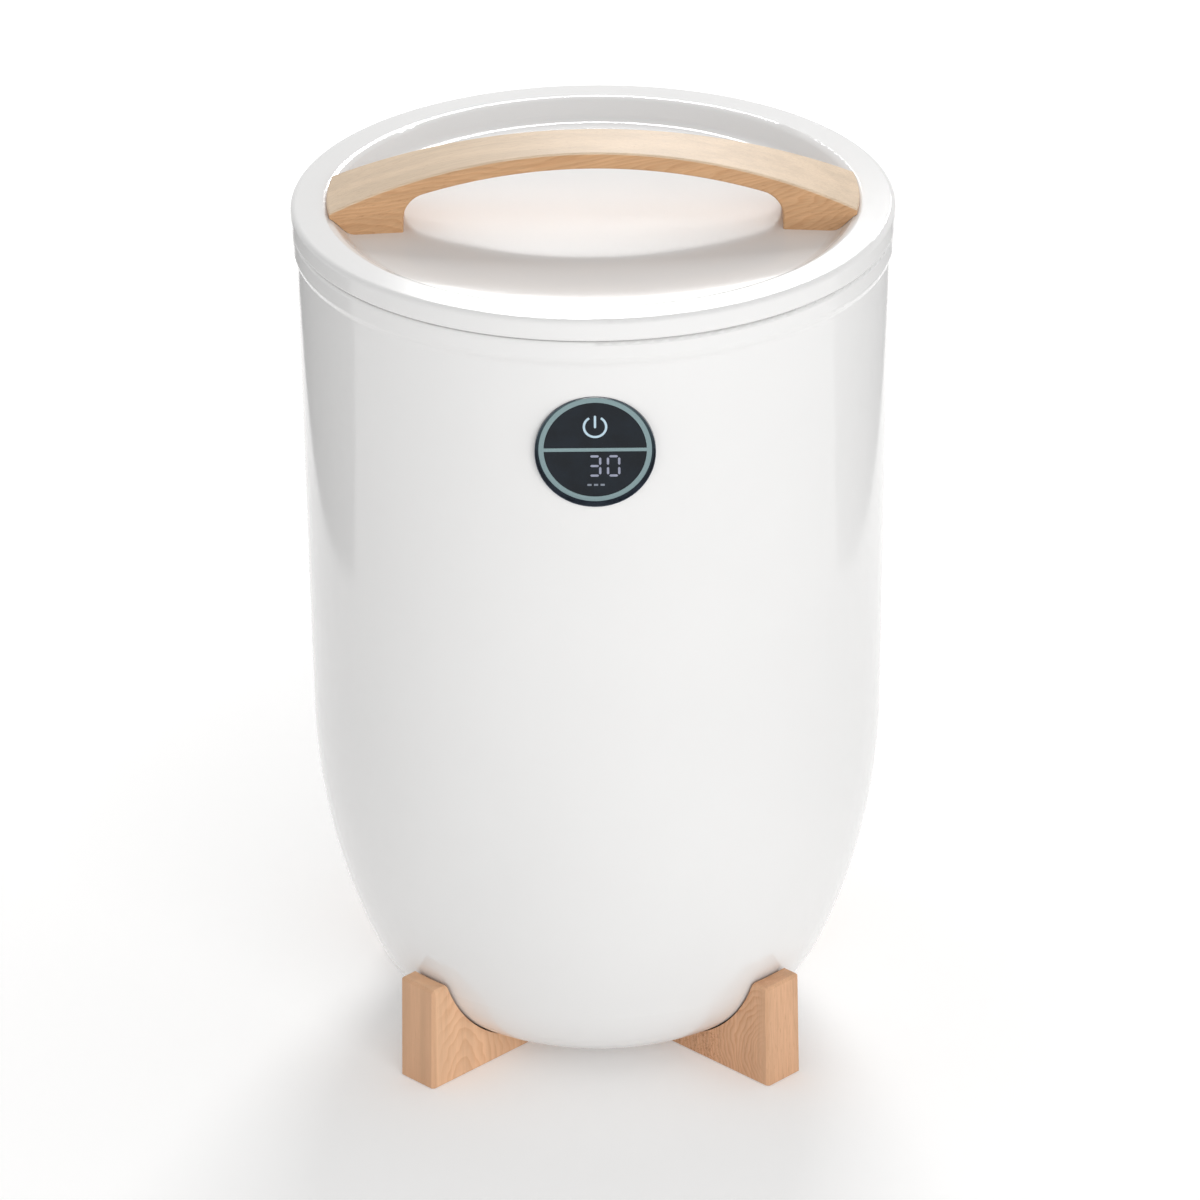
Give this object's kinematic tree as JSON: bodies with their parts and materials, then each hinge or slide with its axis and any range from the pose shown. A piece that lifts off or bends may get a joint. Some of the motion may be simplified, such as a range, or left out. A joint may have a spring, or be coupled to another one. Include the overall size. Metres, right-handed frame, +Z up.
{
  "type": "towel warmer",
  "caption": "Round bucket towel warmer with a rounded white body, a lift-off lid with an arched wooden handle, crossed wooden feet and a round panel with a power button and a timer window.",
  "frame": {"origin": "on the floor under the body's axis, at the lowest face of the foot pads", "axes": "+Z up along the body's axis, -Y out of the control panel, X along the lid handle"},
  "size_m": [0.33, 0.33, 0.5277],
  "materials": {
    "white_gloss": "high gloss moulded white",
    "wood": "oiled pale beech with a fine grain",
    "bucket_aluminium": "satin drawn sheet",
    "seal_silicone": "translucent white silicone",
    "heater_silicone": "ribbed silicone heating mat",
    "insulation_wool": "needled wool felt",
    "black_panel": "polished black acrylic",
    "panel_frame": "silvery green satin",
    "panel_bezel": "dark polished plating",
    "black_plastic": "fine moulded texture",
    "circuit_board": "solder mask",
    "connector_plastic": "moulded cream",
    "zinc_steel": "bright zinc plated",
    "standoff_brass": "turned",
    "lead_rubber": "smooth insulation",
    "pad_rubber": "ribbed black rubber"
  },
  "bodies": {
    "base": {"shell_front": "white_gloss", "shell_back": "white_gloss", "top_collar": "white_gloss", "foot_beam_a": "wood", "foot_beam_b": "wood", "inner_bucket": "bucket_aluminium", "heater_band": "heater_silicone", "insulation_jacket": "insulation_wool", "base_insulation": "insulation_wool", "display_window": "black_panel", "control_frame": "panel_frame", "control_bezel": "panel_bezel", "control_housing": "black_plastic", "control_cover": "black_plastic", "cord_gland": "black_plastic", "gland_nut": "black_plastic", "power_relay": "black_plastic", "display_module": "black_plastic", "tact_switch": "black_plastic", "power_board": "circuit_board", "control_board": "circuit_board", "terminal_block": "connector_plastic", "loom_connector": "connector_plastic", "thermostat": "connector_plastic", "fuse_holder": "connector_plastic", "floor_plate": "zinc_steel", "sensor_strap": "zinc_steel", "strap_studs": "zinc_steel", "strap_nuts": "zinc_steel", "foot_screws": "zinc_steel", "board_screws": "zinc_steel", "housing_screws": "zinc_steel", "cover_screws": "zinc_steel", "thermal_fuse": "zinc_steel", "board_standoffs": "standoff_brass", "signal_loom": "lead_rubber", "heater_leads": "lead_rubber", "foot_pads": "pad_rubber"},
    "lid": {"lid_cover": "white_gloss", "lid_liner": "bucket_aluminium", "lid_insulation": "insulation_wool", "lid_seal": "seal_silicone", "lid_screws": "zinc_steel", "lid_handle": "wood", "handle_screws": "zinc_steel"},
    "button": {"power_button": "black_panel", "button_carrier": "black_plastic"}
  },
  "joints": [
    {"name": "lid_lift", "type": "slide", "parent": "base", "child": "lid", "axis": [0, 0, 1], "range_m": [0, 0.25]},
    {"name": "power_press", "type": "slide", "parent": "base", "child": "button", "axis": [0, 1, 0], "range_m": [0, 0.0008], "stiffness_N_per_m": 600}
  ]
}
